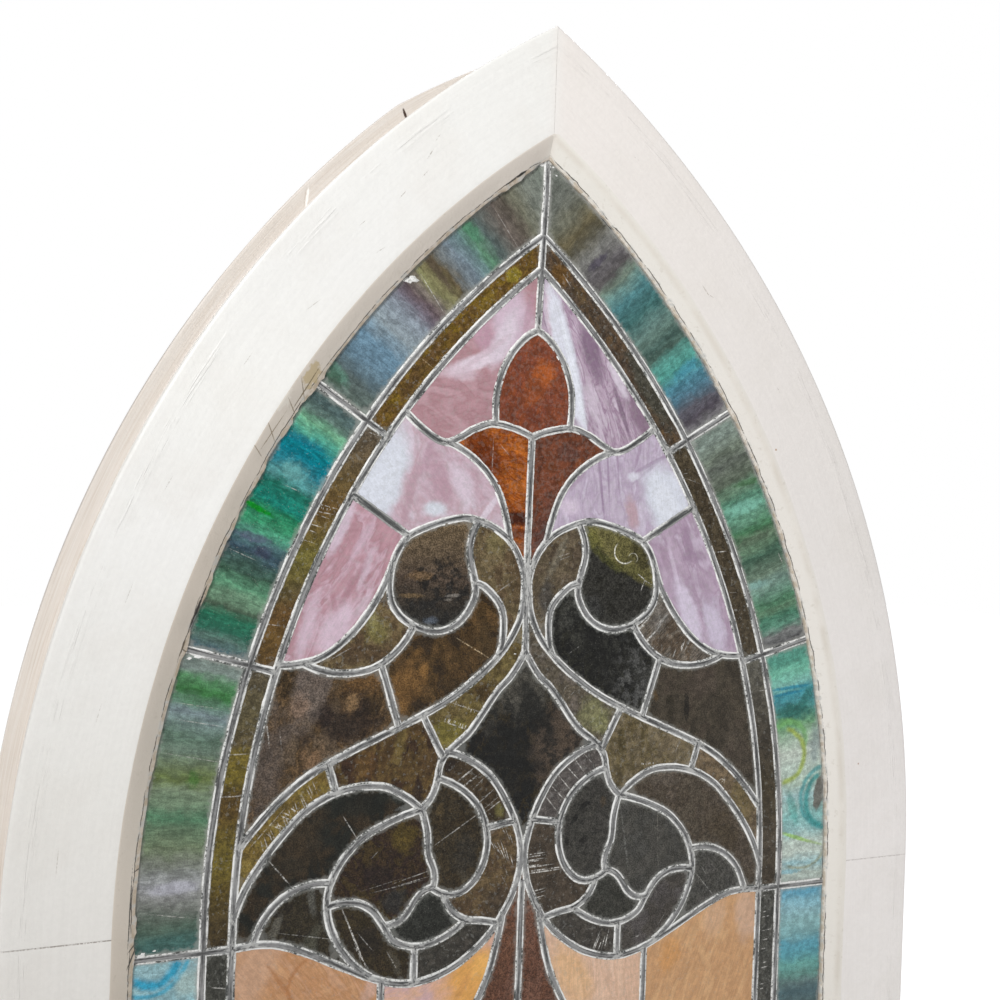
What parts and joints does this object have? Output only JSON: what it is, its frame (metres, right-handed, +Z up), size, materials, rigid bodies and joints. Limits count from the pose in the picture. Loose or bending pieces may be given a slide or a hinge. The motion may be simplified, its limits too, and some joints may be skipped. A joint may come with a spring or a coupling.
{
  "type": "stained glass window",
  "caption": "Pointed-arch window sash in white painted wood, glazed with a leaded panel of opalescent glass: a scrolling flower inside a green and blue border.",
  "frame": {"origin": "middle of the underside of the set-back lip, on which the sash stands in its opening", "axes": "+X across the window to the right as seen from the front, +Y from the front to the back, +Z up"},
  "size_m": [0.734, 0.044, 1.0324],
  "materials": {
    "painted_wood": "old white gloss paint with brush marks and small dents",
    "putty": "old painted linseed putty, cracked at its edge",
    "lead": "dull grey lead came, soldered joints, pale cement along the edges",
    "border_glass": "streaky green, teal and blue opalescent glass, slightly wavy",
    "pink_glass": "wispy pink and white opalescent glass",
    "rust_glass": "rust red and orange cathedral glass",
    "amber_glass": "olive and amber glass with scratches",
    "dark_glass": "deep brown to black glass, mottled",
    "peach_glass": "peach and orange opalescent glass"
  },
  "bodies": {
    "root": {"curved_head_left": "painted_wood", "curved_head_right": "painted_wood", "stile_left": "painted_wood", "stile_right": "painted_wood", "bottom_rail": "painted_wood", "glazing_putty": "putty", "lead_cames": "lead", "border_top_pane_left": "border_glass", "border_top_pane_right": "border_glass", "border_upper_pane_left": "border_glass", "border_upper_pane_right": "border_glass", "border_middle_pane_left": "border_glass", "border_middle_pane_right": "border_glass", "border_lower_pane_left": "border_glass", "border_lower_pane_right": "border_glass", "border_foot_pane_left": "border_glass", "border_foot_pane_right": "border_glass", "crown_pane_left": "pink_glass", "crown_pane_right": "pink_glass", "brow_pane_left": "pink_glass", "brow_pane_right": "pink_glass", "petal_pane_left": "pink_glass", "petal_pane_right": "pink_glass", "fleur_pane_left": "rust_glass", "fleur_pane_right": "rust_glass", "disc_pane_left": "dark_glass", "disc_pane_right": "dark_glass", "crescent_pane_left": "amber_glass", "crescent_pane_right": "amber_glass", "leaf_pane_left": "amber_glass", "leaf_pane_right": "amber_glass", "body_pane_left": "dark_glass", "body_pane_right": "dark_glass", "field_pane_left": "dark_glass", "field_pane_right": "dark_glass", "band_upper_pane_left": "amber_glass", "band_upper_pane_right": "amber_glass", "band_middle_pane_left": "amber_glass", "band_middle_pane_right": "amber_glass", "band_lower_pane_left": "amber_glass", "band_lower_pane_right": "amber_glass", "scroll_field_pane_left": "dark_glass", "scroll_field_pane_right": "dark_glass", "scroll_heart_pane_left": "dark_glass", "scroll_heart_pane_right": "dark_glass", "scroll_tip_pane_left": "dark_glass", "scroll_tip_pane_right": "dark_glass", "scroll_foot_pane_left": "dark_glass", "scroll_foot_pane_right": "dark_glass", "teardrop_pane_left": "dark_glass", "teardrop_pane_right": "dark_glass", "lower_inner_pane_left": "peach_glass", "lower_inner_pane_right": "peach_glass", "lower_outer_pane_left": "peach_glass", "lower_outer_pane_right": "peach_glass", "stalk_pane_left": "rust_glass", "stalk_pane_right": "rust_glass", "bud_pane": "rust_glass", "diamond_pane": "dark_glass"}
  },
  "joints": []
}
